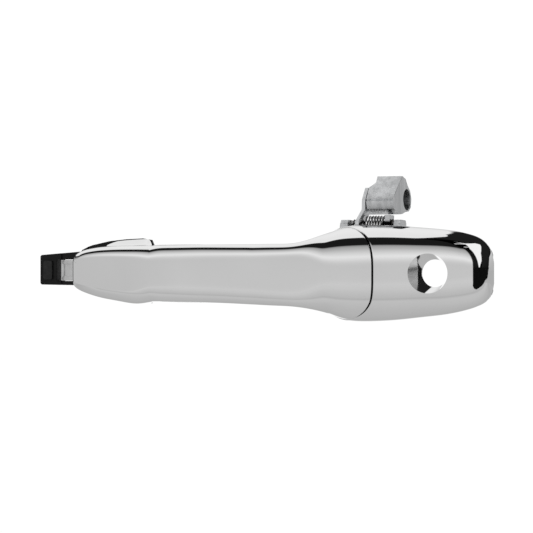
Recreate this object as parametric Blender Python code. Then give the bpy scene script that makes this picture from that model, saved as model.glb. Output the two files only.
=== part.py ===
"""Exterior car door handle: chrome grip, key cap, and the bell crank behind it.

Frame: +X runs from the front hook to the key cap, -Y points out of the door,
+Z is up. Y = 0 is the outer skin of the door, and the origin lies on the door
side of the cap gasket. Lengths below are millimetres, scaled once in
mesh_object().
"""
import math

import bmesh
import bpy
from mathutils import Vector

MM = 0.001
GAP = 0.3                      # clearance between pieces that touch

# ---- driving dimensions ---------------------------------------------------
GRIP_FRONT_X = -174.7          # front tip of the grip's foot
CAP_REAR_X = 45.7              # rear tip of the key cap
FOOT_BACK_Y = -1.2             # door side of the grip's two feet
FOOT_SPLIT_Y = -3.6            # where shell and inner cover meet on the feet
WALL = 2.4                     # wall of the plated mouldings

# Body outline seen from outside: (x, z) along the top and the bottom edge.
TOP_EDGE = [(-174.7, 7.4), (-172.0, 9.2), (-166.0, 11.2), (-155.0, 12.8), (-140.0, 13.6),
            (-125.0, 14.1), (-90.0, 14.3), (-60.0, 14.5), (-51.0, 14.7), (-47.3, 15.1),
            (-43.2, 16.4), (-39.1, 18.3), (-35.0, 20.4), (-30.9, 22.5), (-26.8, 23.7),
            (-18.0, 24.0), (-7.0, 23.8), (1.0, 23.4), (13.0, 22.4), (21.0, 21.7),
            (29.0, 20.5), (36.6, 18.5), (41.0, 15.8), (44.4, 11.2), (45.7, 6.5)]
BOTTOM_EDGE = [(-174.7, -6.4), (-172.0, -7.6), (-162.0, -11.0), (-150.0, -13.0), (-138.0, -13.9),
               (-125.0, -14.3), (-90.0, -14.7), (-60.0, -16.0), (-51.0, -16.5), (-47.3, -16.9),
               (-43.2, -17.8), (-39.1, -18.8), (-35.0, -20.4), (-30.9, -22.6), (-26.8, -24.0),
               (-20.0, -24.4), (-7.0, -23.9), (1.0, -23.2), (13.0, -21.7), (21.0, -20.8),
               (29.0, -19.2), (36.6, -17.0), (41.0, -14.6), (44.4, -10.8), (45.7, -6.5)]
# Skirt of the front foot, wider than the bar and flush with the door.
SKIRT_TOP = [(-174.7, 7.6), (-172.4, 11.2), (-166.1, 14.3), (-159.1, 16.0), (-148.8, 17.4),
             (-133.7, 18.0), (-131.4, 17.4), (-129.0, 14.0)]
SKIRT_BOTTOM = [(-174.7, -6.6), (-170.5, -9.0), (-161.8, -11.9), (-153.9, -13.6), (-144.3, -14.9),
                (-137.6, -15.9), (-132.4, -16.3), (-129.0, -14.2)]
SKIRT_DEPTH = 11.0             # from the door to where the skirt meets the body
# The chrome's skirt stops this far below the inner cover's top edge.
SKIRT_TRIM = [(-174.7, 0.2), (-171.0, 1.3), (-160.0, 1.1), (-148.0, 0.6), (-129.0, 0.4)]
# Plan view: (x, y) of the outermost line, the widest line and the back.
FRONT_FACE = [(-174.7, -8.6), (-172.0, -11.6), (-165.0, -15.6), (-150.0, -21.6), (-130.0, -27.6),
              (-100.0, -33.4), (-70.0, -35.8), (-40.0, -34.6), (-20.0, -32.0), (-8.5, -30.0),
              (0.0, -28.6), (13.0, -26.2), (21.0, -24.0), (29.0, -21.0), (36.6, -16.6),
              (41.0, -12.6), (44.4, -7.6), (45.7, -3.2)]
WIDEST = [(-174.7, -3.6), (-136.0, -3.6), (-131.0, -6.0), (-125.0, -19.0), (-118.0, -24.6),
          (-90.0, -27.6), (-70.0, -27.0), (-63.0, -24.0), (-57.0, -13.0), (-52.0, -5.0),
          (-48.0, -3.6), (-8.0, -3.6)]
BACK_FACE = [(-174.7, -1.2), (-133.0, -1.2), (-129.0, -3.4), (-123.0, -14.0), (-116.0, -19.4),
             (-90.0, -22.4), (-72.0, -21.6), (-65.0, -18.0), (-59.0, -8.0), (-55.0, -2.2),
             (-52.0, -1.2), (-8.0, -1.2)]
# Squareness of the section's corners along the body.
CORNER = [(-174.7, 3.6), (-170.0, 5.0), (-160.0, 6.3), (-60.0, 6.5), (-48.0, 6.4), (-41.0, 5.0),
          (-34.0, 3.3), (-25.0, 2.9), (0.0, 3.0), (25.0, 3.1), (CAP_REAR_X, 2.7)]

# Parting curve between grip and cap in plan, a parabola from its outer end.
PARTING_X = -8.5
PARTING_Y = -30.0
PARTING_SLOPE = 0.87
PARTING_BEND = 0.011
PARTING_GAP = 0.8
GRIP_INSET = 0.5               # the grip stands this much inside the cap's outline

# Key cylinder opening in the cap.
KEY_X = 17.2
KEY_RIM_R = 9.9
KEY_HOLE_R = 6.9
KEY_FACE_Y = -25.4
KEY_FLOOR_Y = -15.6
KEY_BOSS_R = 11.8
KEY_BOSS_BACK_Y = -13.4
WINDOW = (4.2, 30.5, -12.8, 12.8)   # clear window behind the key opening: x, x, z, z

# Grip hinge at the hook, and bell crank pivot.
HINGE_X = -190.0
HINGE_Y = 7.0
PIVOT_Y = 13.0
PIVOT_Z = 23.0
PIN_R = 2.0
LEVER_REST = math.radians(22.5)     # the lever leans into the door by this at rest
LEVER_LENGTH = 25.0
ARM_LEAN = 0.5                 # slope of the left arm towards the weight above the hub
ARM_SHIFT = 2.9                # how far that slope carries it
WEIGHT_SKEW = 0.145            # the weight's right end runs out towards the door

# Bracket plate on the inner side of the door skin.
PLATE_FRONT_Y = 2.2
PLATE_BACK_Y = 5.2
LEG_X = (-55.0, -49.5)
LEG_HALF_Z = 5.5
FINGER_TOP_Z = -0.7
BUMPER = 1.9                   # thickness of the leg's rubber
HOOK_FACE_Y = 25.4
HOOK_BACK_Y = 30.0
SCREW_SPOTS = [(-29.0, -14.5), (-9.5, -14.5), (-2.6, 6.0)]
STUD_SPOT = (36.6, 0.0)

RING = 26                       # points around a body section


# ---- helpers --------------------------------------------------------------
def clear_scene():
    for item in list(bpy.data.objects):
        bpy.data.objects.remove(item, do_unlink=True)


def make_material(name, colour, roughness, metallic):
    material = bpy.data.materials.new(name)
    material.use_nodes = True
    shader = material.node_tree.nodes["Principled BSDF"]
    shader.inputs["Base Color"].default_value = (*colour, 1.0)
    shader.inputs["Roughness"].default_value = roughness
    shader.inputs["Metallic"].default_value = metallic
    material.diffuse_color = (*colour, 1.0)
    return material


def along(stations, x):
    """Smooth value at x of a line through its (x, value) stations."""
    if x <= stations[0][0]:
        return stations[0][1]
    if x >= stations[-1][0]:
        return stations[-1][1]
    count = len(stations)
    index = 0
    while stations[index + 1][0] < x:
        index += 1

    def slope(k):
        if k == 0 or k == count - 1:
            near = min(max(k, 1), count - 1)
            return ((stations[near][1] - stations[near - 1][1])
                    / (stations[near][0] - stations[near - 1][0]))
        before = (stations[k][1] - stations[k - 1][1]) / (stations[k][0] - stations[k - 1][0])
        after = (stations[k + 1][1] - stations[k][1]) / (stations[k + 1][0] - stations[k][0])
        if before * after <= 0.0:
            return 0.0
        return 2.0 * before * after / (before + after)

    x0, v0 = stations[index]
    x1, v1 = stations[index + 1]
    step = x1 - x0
    t = (x - x0) / step
    return ((2 * t**3 - 3 * t**2 + 1) * v0 + (t**3 - 2 * t**2 + t) * step * slope(index)
            + (3 * t**2 - 2 * t**3) * v1 + (t**3 - t**2) * step * slope(index + 1))


def signed_power(value, exponent):
    return math.copysign(abs(value) ** exponent, value)


def mesh_object(name, points, faces, material, smooth=35.0):
    """New object from points in millimetres, with its faces turned outwards."""
    mesh = bpy.data.meshes.new(name)
    mesh.from_pydata([tuple(c * MM for c in p) for p in points], [], faces)
    work = bmesh.new()
    work.from_mesh(mesh)
    bmesh.ops.recalc_face_normals(work, faces=work.faces)
    work.to_mesh(mesh)
    work.free()
    if smooth:
        mesh.shade_smooth()
        mesh.set_sharp_from_angle(angle=math.radians(smooth))
    if material:
        mesh.materials.append(material)
    item = bpy.data.objects.new(name, mesh)
    bpy.context.scene.collection.objects.link(item)
    return item


def loft(name, loops, material=None):
    """Closed body through a row of loops that have the same number of points."""
    size = len(loops[0])
    points = [p for loop in loops for p in loop]
    faces = [list(range(size)), [len(points) - size + k for k in range(size)]]
    for row in range(len(loops) - 1):
        for k in range(size):
            a = row * size + k
            b = row * size + (k + 1) % size
            faces.append([a, b, b + size, a + size])
    return mesh_object(name, points, faces, material)


def prism(name, outline, axis, low, high, material=None):
    """Extrude an outline along x, y or z; its points lack that coordinate."""
    place = {"x": lambda u, v, w: (w, u, v), "y": lambda u, v, w: (u, w, v),
             "z": lambda u, v, w: (u, v, w)}[axis]
    return loft(name, [[place(u, v, w) for u, v in outline] for w in (low, high)], material)


def box(name, low, high, material=None):
    outline = [(low[0], low[1]), (high[0], low[1]), (high[0], high[1]), (low[0], high[1])]
    return prism(name, outline, "z", low[2], high[2], material)


def circle(centre, radius, count=24):
    return [(centre[0] + radius * math.cos(2 * math.pi * k / count),
             centre[1] + radius * math.sin(2 * math.pi * k / count)) for k in range(count)]


def rounded(low, high, radius, steps=4):
    """Outline of a rectangle with round corners."""
    corners = [(high[0] - radius, high[1] - radius, 0.0), (low[0] + radius, high[1] - radius, 90.0),
               (low[0] + radius, low[1] + radius, 180.0), (high[0] - radius, low[1] + radius, 270.0)]
    outline = []
    for u, v, start in corners:
        for k in range(steps + 1):
            angle = math.radians(start + 90.0 * k / steps)
            outline.append((u + radius * math.cos(angle), v + radius * math.sin(angle)))
    return outline


def turned(name, profile, axis, centre, material=None, count=24):
    """Body of revolution; profile lists (place along axis, radius), open ends capped."""
    loops = []
    for place, radius in profile:
        ring = circle(centre, radius, count)
        if axis == "x":
            loops.append([(place, u, v) for u, v in ring])
        elif axis == "y":
            loops.append([(u, place, v) for u, v in ring])
        else:
            loops.append([(u, v, place) for u, v in ring])
    return loft(name, loops, material)


def ring_body(name, axis, centre, outer, inner, low, high, material, count=24):
    """Tube along an axis."""
    item = turned(name, [(low, outer), (high, outer)], axis, centre, material, count)
    cut(item, turned(name + "_bore", [(low - 1, inner), (high + 1, inner)], axis, centre, None, count))
    return item


def sweep(name, path, radius, material, sides=8):
    """Round bar along a path, its frame carried on without twist."""
    path = [Vector(p) for p in path]
    across = Vector((0.0, 0.0, 1.0))
    loops = []
    for k, point in enumerate(path):
        ahead = (path[min(k + 1, len(path) - 1)] - path[max(k - 1, 0)]).normalized()
        across = (across - ahead * across.dot(ahead)).normalized()
        other = ahead.cross(across)
        loops.append([tuple(point + across * (radius * math.cos(2 * math.pi * i / sides))
                            + other * (radius * math.sin(2 * math.pi * i / sides)))
                      for i in range(sides)])
    return loft(name, loops, material)


def triangulate(item):
    """Split every face into triangles, so that bent sides stay closed and flat."""
    work = bmesh.new()
    work.from_mesh(item.data)
    bmesh.ops.triangulate(work, faces=work.faces)
    work.to_mesh(item.data)
    work.free()


def guide(item):
    item.hide_render = True
    item.display_type = "WIRE"
    return item


def boolean(item, tool, operation):
    modifier = item.modifiers.new(operation.lower(), "BOOLEAN")
    modifier.operation = operation
    modifier.solver = "EXACT"
    modifier.object = guide(tool)


def cut(item, tool):
    boolean(item, tool, "DIFFERENCE")


def join(item, tool):
    boolean(item, tool, "UNION")


# ---- shared surfaces ------------------------------------------------------
def parting_x(y, shift=0.0):
    """Plan position of the parting curve at depth y."""
    inward = y - PARTING_Y
    return PARTING_X - PARTING_SLOPE * inward - PARTING_BEND * inward**2 + shift


def parting_block(name, shift, side):
    """Everything on one side (+1 cap side, -1 grip side) of the shifted parting curve."""
    depths = [-46.0 + 3.0 * k for k in range(19)]
    curve = [(parting_x(max(y, -38.0), shift), y) for y in depths]
    far = 80.0 if side > 0 else -260.0
    outline = curve + [(far, depths[-1]), (far, depths[0])]
    return prism(name, outline, "z", -60.0, 60.0)


def body_loop(x, half, inset, back_room=0.0, rim=None):
    """Section at x: the outer half (half=-1) or the door half (half=+1) of the body.

    inset moves the surface inwards; back_room lets a cavity run out of the open side;
    rim is the depth of the open side, where it isn't the body's widest line.
    """
    top = along(TOP_EDGE, x)
    bottom = along(BOTTOM_EDGE, x)
    skirt_top = along(SKIRT_TOP, x)
    skirt_bottom = along(SKIRT_BOTTOM, x)
    middle = (top + bottom) / 2.0
    height = (top - bottom) / 2.0 - inset
    corner = along(CORNER, x)
    widest = along(WIDEST, x) if rim is None else rim
    reach = abs((along(FRONT_FACE, x) if half < 0 else along(BACK_FACE, x)) - widest)
    reach = max(reach - inset, 0.4)
    loop = []
    for k in range(RING + 1):
        turn = math.pi * (k / RING - 0.5)
        z = middle + height * signed_power(math.sin(turn), 2.0 / corner)
        out = reach * abs(math.cos(turn)) ** (2.0 / 2.3)
        y = widest + half * out
        if x < SKIRT_TOP[-1][0]:
            if half < 0:
                fade = max(0.0, 1.0 - out / SKIRT_DEPTH) ** 0.4
                top_room = inset + along(SKIRT_TRIM, x)
            else:
                fade = 1.0 - (out / reach) ** 5
                top_room = inset
            if z > middle:
                z = max(z, middle + (skirt_top - top_room - middle) * fade)
            else:
                z = min(z, middle + (skirt_bottom + inset - middle) * fade)
        loop.append((x, y, z))
    if back_room:
        first = loop[0]
        last = loop[-1]
        loop = [(x, first[1] - half * back_room, first[2])] + loop
        loop.append((x, last[1] - half * back_room, last[2]))
    return loop


def body_stations(start, end, count, dense=()):
    places = [start + (end - start) * k / (count - 1) for k in range(count)]
    for low, high, extra in dense:
        places += [low + (high - low) * k / (extra + 1) for k in range(1, extra + 1)]
    places.sort()
    kept = [places[0]]
    for place in places[1:]:
        if place - kept[-1] > 0.35:
            kept.append(place)
    return kept


def grip_inset(x):
    """The grip's rear end stands slightly inside the cap's outline."""
    share = min(max((x + 62.0) / 24.0, 0.0), 1.0)
    return GRIP_INSET * share * share * (3.0 - 2.0 * share)


# ---- the grip, which swings about the hook --------------------------------
def make_grip(chrome, black, rubber, steel):
    places = body_stations(GRIP_FRONT_X, -4.0, 19,
                           [(GRIP_FRONT_X, -164.0, 2), (-134.0, -116.0, 5), (-66.0, -42.0, 3)])
    shell = loft("grip_outer_shell",
                 [body_loop(x, -1, grip_inset(x)) for x in places], chrome)
    cut(shell, parting_block("grip_end_cut", 0.0, 1))
    hollow_places = body_stations(GRIP_FRONT_X + WALL, -4.0, 14, [(-134.0, -116.0, 3)])
    hollow = loft("grip_hollow", [body_loop(x, -1, WALL, 3.0) for x in hollow_places])
    cut(hollow, parting_block("grip_hollow_end", -3.6, 1))
    cut(shell, hollow)

    cover = loft("grip_inner_cover",
                 [body_loop(x, 1, grip_inset(x), rim=along(WIDEST, x) + GAP) for x in places],
                 black)
    cut(cover, parting_block("cover_end_cut", -1.2, 1))
    bar = [x for x in places if -112.0 < x < -72.0]
    cut(cover, loft("cover_hollow", [body_loop(x, 1, WALL, 3.0) for x in bar]))

    # Hook arm: neck through the door, bar towards the front, black shoe on its end.
    neck = box("hook_arm", (-186.5, 3.6, -4.2), (-164.0, 10.6, 6.8), chrome)
    join(neck, box("hook_neck", (-174.0, FOOT_BACK_Y + GAP, -4.2), (-158.0, 7.0, 6.8)))
    join(neck, box("hook_web", (-176.0, 6.0, -2.6), (-150.0, 12.0, 5.2)))
    cut(neck, box("hook_pocket", (-185.0, 3.0, -1.9), (-178.5, 4.6, 4.6)))
    cut(neck, turned("hook_notch_upper", [(3.0, 0.9), (5.2, 0.9)], "y", (-185.2, 5.6), None, 12))
    cut(neck, turned("hook_notch_lower", [(3.0, 0.9), (5.2, 0.9)], "y", (-185.2, -3.0), None, 12))

    side = [(-198.3, -5.6), (-197.6, -6.4), (-165.0, -6.9), (-165.0, -4.5), (-188.6, -4.5),
            (-188.6, 7.1), (-165.0, 7.1), (-165.0, 11.2), (-176.0, 11.2), (-197.6, 9.5),
            (-198.3, 8.8)]
    shoe = prism("hook_shoe", side, "y", 2.6, 13.4, black)
    cut(shoe, box("shoe_front_relief", (-186.0, 1.0, -8.0), (-160.0, 3.6, 13.0)))
    cut(shoe, box("shoe_back_relief", (-180.0, 10.8, -8.0), (-160.0, 14.4, 13.0)))

    prism("hook_wear_pad", rounded((-196.0, -3.6), (-191.0, 6.4), 1.0), "y", 1.4, 2.3, rubber)
    for number, x in enumerate((-156.5, -152.0)):
        height = 1.3 + (2.6 if number else -2.6)
        screw = turned("arm_screw_%d" % (number + 1), [(12.3, 2.4), (13.9, 2.4)], "y",
                       (x, height), steel, 16)
        cut(screw, turned("arm_screw_drive_%d" % (number + 1), [(13.1, 1.1), (15.0, 1.1)], "y",
                          (x, height), None, 6))

    # Rear leg: plate through the door with a finger behind the lever's tip.
    leg_outline = [(LEG_X[0], FOOT_BACK_Y + GAP), (LEG_X[1], FOOT_BACK_Y + GAP),
                   (LEG_X[1], HOOK_BACK_Y), (LEG_X[0] + 2.0, HOOK_BACK_Y),
                   (LEG_X[0], HOOK_BACK_Y - 2.0)]
    leg = prism("rear_leg", leg_outline, "z", -LEG_HALF_Z, LEG_HALF_Z, chrome)
    join(leg, box("leg_finger", (LEG_X[1] - 2.0, HOOK_FACE_Y, -LEG_HALF_Z),
                  (-21.0, HOOK_BACK_Y, FINGER_TOP_Z)))
    cut(leg, prism("leg_lightening", rounded((8.0, -2.6), (21.0, 2.6), 1.6), "x",
                   LEG_X[0] - 2.0, LEG_X[1] + 2.0))
    box("rear_leg_bumper", (LEG_X[1] + GAP, 9.0, -3.6), (LEG_X[1] + GAP + BUMPER, 20.0, 3.6), rubber)


# ---- the key cap and its base, fixed to the door ---------------------------
def cap_loop(x, inset, room=0.0):
    return body_loop(x, -1, inset, room, rim=-1.5 - GAP)


def cap_outline(low_x, high_x, inset, count=14):
    """The cap's outline at the door, closed, moved inwards by inset."""
    places = [low_x + (high_x - low_x) * (1.0 - (1.0 - k / (count - 1)) ** 2) for k in range(count)]
    upper = [(x, along(TOP_EDGE, x) - inset) for x in places]
    lower = [(x, along(BOTTOM_EDGE, x) + inset) for x in reversed(places)]
    return upper + lower


def door_window(name, low_y, high_y):
    return prism(name, rounded((WINDOW[0], WINDOW[2]), (WINDOW[1], WINDOW[3]), 6.0), "y", low_y, high_y)


def hole(item, name, spot, radius, low_y, high_y, count=16):
    cut(item, turned(name, [(low_y, radius), (high_y, radius)], "y", spot, None, count))


def make_cap(chrome, black, rubber, steel, zinc):
    places = body_stations(-46.0, CAP_REAR_X, 18, [(36.6, 44.4, 3), (44.4, CAP_REAR_X, 1)])
    cap = loft("key_cap", [cap_loop(x, 0.0) for x in places], chrome)
    cut(cap, parting_block("cap_end_cut", PARTING_GAP, -1))
    inner_places = body_stations(-46.0, CAP_REAR_X - WALL, 13, [(34.0, 43.0, 2)])
    hollow = loft("cap_hollow", [cap_loop(x, WALL, 3.0) for x in inner_places])
    cut(hollow, parting_block("cap_hollow_end", PARTING_GAP + 3.6, -1))
    cut(hollow, turned("key_boss", [(-60.0, KEY_BOSS_R), (KEY_BOSS_BACK_Y, KEY_BOSS_R)], "y",
                       (KEY_X, 0.0), None, 40))
    cut(cap, hollow)
    flare = (KEY_RIM_R - KEY_HOLE_R) / (KEY_FLOOR_Y - KEY_FACE_Y)
    mouth_y = KEY_FACE_Y - 8.0
    cut(cap, turned("key_recess", [(mouth_y, KEY_HOLE_R + flare * (KEY_FLOOR_Y - mouth_y)),
                                   (KEY_FLOOR_Y, KEY_HOLE_R)], "y", (KEY_X, 0.0), None, 40))
    cut(cap, turned("key_hole", [(-30.0, KEY_HOLE_R), (0.0, KEY_HOLE_R)], "y", (KEY_X, 0.0), None, 40))

    base = prism("cap_base", cap_outline(-31.5, 41.0, 3.3), "y", -4.6, -1.5 - GAP, black)
    cut(base, door_window("base_window", -6.0, 2.0))
    gasket = prism("cap_gasket", cap_outline(-40.5, 45.0, 0.4), "y", -1.5, 0.0, rubber)
    cut(gasket, door_window("gasket_window", -3.0, 2.0))
    for number, spot in enumerate(SCREW_SPOTS + [STUD_SPOT]):
        hole(base, "base_hole_%d" % number, spot, 2.4, -6.0, 1.0)
        hole(gasket, "gasket_hole_%d" % number, spot, 3.6, -3.0, 1.0)

    # Lock housing ring that the cylinder slides into, behind the window.
    ring_body("cylinder_retainer", "y", (KEY_X, 0.0), 12.4, 10.4, -12.9, -5.2, black, 32)
    turned("mounting_stud", [(-4.3, 2.1), (0.6, 2.1), (0.6, 3.0), (14.0, 3.0), (15.0, 2.4)],
           "y", STUD_SPOT, steel, 20)
    nut = turned("mounting_nut", [(3.8, 5.2), (8.6, 5.2)], "y", STUD_SPOT, zinc, 6)
    hole(nut, "nut_bore", STUD_SPOT, 3.3, 1.0, 10.0, 20)
    ring_body("stud_washer", "y", STUD_SPOT, 7.4, 3.3, PLATE_FRONT_Y, 3.5, zinc, 28)


# ---- bracket, pin and spring ----------------------------------------------
def make_bracket(cast, steel, nylon, rubber, spring_steel):
    outline = rounded((-34.0, -19.5), (1.0, 19.5), 3.0)
    bracket = prism("pivot_bracket", outline, "y", PLATE_FRONT_Y, PLATE_BACK_Y, cast)
    tongue = rounded((-63.0, -12.4), (-30.0, 12.4), 3.0)
    join(bracket, prism("bracket_tongue", tongue, "y", PLATE_FRONT_Y, PLATE_BACK_Y))
    for side, low_x, high_x, top_r in (("left", -32.4, -28.6, 3.9), ("right", -5.0, -1.6, 3.7)):
        ear = [(PLATE_FRONT_Y, 10.0), (PLATE_FRONT_Y, PIVOT_Z + top_r - 2.0),
               (4.4, PIVOT_Z + top_r), (PIVOT_Y, PIVOT_Z + top_r)]
        ear += [(PIVOT_Y + (top_r + 1.2) * math.cos(a), PIVOT_Z + (top_r + 1.2) * math.sin(a))
                for a in (math.radians(48.0 - 24.0 * k) for k in range(6))]
        ear += [(PLATE_BACK_Y + 3.0, 10.0)]
        join(bracket, prism(side + "_ear", ear, "x", low_x, high_x))
    cut(bracket, box("leg_window", (LEG_X[0] - 4.4, -2.0, -9.4), (LEG_X[1] + 6.6, 8.0, 9.4)))
    cut(bracket, box("lever_window", (-27.4, -2.0, -9.4), (-6.4, 8.0, 30.0)))
    bore = [(-40.0, PIN_R + GAP), (-2.6, PIN_R + GAP)]
    cut(bracket, turned("ear_bore", bore, "x", (PIVOT_Y, PIVOT_Z), None, 20))
    for number, spot in enumerate(SCREW_SPOTS):
        hole(bracket, "bracket_hole_%d" % number, spot, 2.0, -1.0, 8.0)

    pin = turned("pivot_pin", [(-34.6, 2.9), (-32.8, 2.9), (-32.8, PIN_R), (-3.5, PIN_R), (-2.9, 1.5)],
                 "x", (PIVOT_Y, PIVOT_Z), steel, 20)
    cut(pin, ring_body("pin_groove", "x", (PIVOT_Y, PIVOT_Z), 3.0, 1.5, -28.4, -27.5, None, 20))
    clip = ring_body("pin_clip", "x", (PIVOT_Y, PIVOT_Z), 3.2, 1.7, -28.2, -27.7, spring_steel, 20)
    cut(clip, box("clip_mouth", (-31.0, PIVOT_Y - 1.1, PIVOT_Z - 8.0), (-25.0, PIVOT_Y + 1.1, PIVOT_Z)))

    coil_r = 5.7
    turns = 6
    start_x = -20.6
    pitch = 1.45
    path = []
    per_turn = 14
    for k in range(turns * per_turn + 1):
        angle = 2 * math.pi * k / per_turn + math.pi / 2
        path.append((start_x + pitch * k / per_turn, PIVOT_Y + coil_r * math.cos(angle),
                     PIVOT_Z + coil_r * math.sin(angle)))
    last = path[-1]
    path += [(last[0] + 0.3, last[1] - 2.2, last[2] - 0.4),
             (last[0] - 0.1, last[1] - 5.4, last[2] - 3.4),
             (last[0] - 0.9, last[1] - 8.0, last[2] - 7.6)]
    sweep("return_spring", path, 0.55, spring_steel, 5)

    guide_ring = box("leg_guide", (LEG_X[0] - 4.0, PLATE_FRONT_Y - GAP, -9.0),
                     (LEG_X[1] + 6.2, PLATE_BACK_Y + 2.0, 9.0), nylon)
    cut(guide_ring, box("leg_guide_slot", (LEG_X[0] - 1.6, -2.0, -6.4),
                        (LEG_X[1] + BUMPER + 2.4, 9.0, 6.4)))
    for number, spot in enumerate(SCREW_SPOTS):
        head = turned("bracket_screw_%d" % (number + 1),
                      [(-3.4, 1.6), (PLATE_BACK_Y + GAP, 1.6), (PLATE_BACK_Y + GAP, 3.6),
                       (PLATE_BACK_Y + 2.2, 3.2)], "y", spot, steel, 16)
        cut(head, turned("bracket_drive_%d" % number,
                         [(PLATE_BACK_Y + 1.0, 1.3), (PLATE_BACK_Y + 4.0, 1.3)], "y", spot, None, 6))


# ---- bell crank, which turns on the pin ------------------------------------
def make_bell_crank(cast, brass, nylon, black):
    axis = (PIVOT_Y, PIVOT_Z)
    tip_y = PIVOT_Y + LEVER_LENGTH * math.sin(LEVER_REST)
    tip_z = PIVOT_Z - LEVER_LENGTH * math.cos(LEVER_REST)
    along_lever = Vector((tip_y - PIVOT_Y, tip_z - PIVOT_Z)).normalized()
    across = Vector((-along_lever.y, along_lever.x))

    crank = turned("bell_crank", [(-27.0, 3.7), (-8.2, 3.7)], "x", axis, cast, 24)

    def lever_point(down, aside):
        spot = Vector(axis) + along_lever * down + across * aside
        return (spot.x, spot.y)

    arm = [lever_point(-1.0, -5.4), lever_point(6.0, -4.4), lever_point(19.0, -2.6)]
    arm += [lever_point(LEVER_LENGTH + 2.4 * math.sin(a), 2.4 * -math.cos(a))
            for a in (math.radians(30.0 * k) for k in range(7))]
    arm += [lever_point(19.0, 2.6), lever_point(6.0, 4.4), lever_point(-1.0, 5.4)]
    join(crank, prism("lever_arm", arm, "x", -26.6, -22.4))
    lean_low = PIVOT_Z + 3.2
    lean_high = lean_low + ARM_SHIFT / ARM_LEAN
    upper = [(PIVOT_Y - 5.4, PIVOT_Z - 0.6), (3.6, 24.4), (3.9, lean_low), (5.6, lean_high), (6.2, 37.0),
             (9.6, 40.0), (13.6, 43.4), (18.0, 43.4), (19.6, lean_high), (19.2, lean_low),
             (PIVOT_Y + 5.4, PIVOT_Z + 2.0), (PIVOT_Y + 3.6, PIVOT_Z - 3.8), (PIVOT_Y - 2.0, PIVOT_Z - 5.2)]
    left_arm = prism("left_arm", upper, "x", -25.0, -23.2)
    for vertex in left_arm.data.vertices:
        rise = vertex.co.z - lean_low * MM
        vertex.co.x += min(max(0.0, ARM_LEAN * rise), ARM_SHIFT * MM)
    triangulate(left_arm)
    join(crank, left_arm)
    right = [(PIVOT_Y - 4.6, PIVOT_Z - 2.0), (7.6, 29.3), (19.0, 29.3), (PIVOT_Y + 4.6, PIVOT_Z - 2.0),
             (PIVOT_Y, PIVOT_Z - 4.8)]
    join(crank, prism("right_arm", right, "x", -10.6, -8.2))
    cut(crank, turned("crank_bore", [(-40.0, 3.05), (5.0, 3.05)], "x", axis, None, 24))

    # Counterweight: a cast block with a lead-weight bore, above the hub.
    front = 6.2
    foot = 29.7
    profile = [(front, foot + 6.6), (front + 0.8, foot + 7.0), (front + 0.3, foot + 7.4),
               (front + 3.4, foot + 10.4), (front + 13.9, foot + 19.8),
               (front + 19.0, foot + 18.5), (front + 22.0, foot + 15.2), (front + 25.6, foot + 12.6),
               (front + 27.4, foot + 8.6), (front + 26.6, foot + 4.2), (front + 23.6, foot + 2.0),
               (front + 18.0, foot + 1.4), (front + 13.9, foot + 0.3), (front + 8.8, foot),
               (front + 1.6, foot + 2.5)]
    block = prism("counterweight", profile, "x", -20.0, -6.2, cast)
    for vertex in block.data.vertices:
        if vertex.co.x > -10.0 * MM:
            vertex.co.x += WEIGHT_SKEW * (vertex.co.y - front * MM)
    cut(block, turned("weight_bore", [(-23.0, 5.4), (0.0, 5.4)], "x",
                      (front + 20.6, foot + 8.0), None, 28))
    step = [(-22.0, foot + 14.0), (-19.6, foot + 14.2), (-17.2, foot + 16.4), (-17.2, foot + 24.0),
            (-22.0, foot + 24.0)]
    cut(block, prism("weight_step", step, "y", front - 2.0, front + 30.0))

    for name, profile in (("left_bush", [(-27.6, 4.3), (-27.3, 4.3), (-27.3, 2.75), (-21.0, 2.75)]),
                          ("right_bush", [(-13.0, 2.75), (-7.9, 2.75), (-7.9, 4.3), (-7.4, 4.3)])):
        bush = turned(name, profile, "x", axis, brass, 20)
        cut(bush, turned(name + "_bore", [(-40.0, PIN_R + GAP), (5.0, PIN_R + GAP)], "x", axis, None, 20))

    turned("weight_plug", [(-19.2, 5.0), (-12.4, 5.0)], "x", (front + 20.6, foot + 8.0), black, 24)


def main():
    clear_scene()
    chrome = make_material("chrome", (0.80, 0.80, 0.81), 0.06, 1.0)
    cast = make_material("die_cast_zinc", (0.55, 0.56, 0.57), 0.45, 1.0)
    black = make_material("black_plastic", (0.02, 0.02, 0.02), 0.45, 0.0)
    rubber = make_material("black_rubber", (0.03, 0.03, 0.03), 0.8, 0.0)
    steel = make_material("plated_steel", (0.62, 0.62, 0.60), 0.3, 1.0)
    spring_steel = make_material("spring_steel", (0.66, 0.66, 0.66), 0.25, 1.0)
    nylon = make_material("natural_nylon", (0.75, 0.73, 0.66), 0.5, 0.0)
    brass = make_material("sintered_bronze", (0.55, 0.42, 0.24), 0.4, 1.0)
    make_grip(chrome, black, rubber, steel)
    make_cap(chrome, black, rubber, steel, steel)
    make_bracket(cast, steel, nylon, rubber, spring_steel)
    make_bell_crank(cast, brass, nylon, black)


main()
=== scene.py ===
"""Looks of a chrome car door handle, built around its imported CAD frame.

+X runs from the hook to the key cap, +Y into the door, +Z up. Sizes of the
chrome mouldings are millimetres, scaled by MM where a mesh is made.
"""

import math

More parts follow.
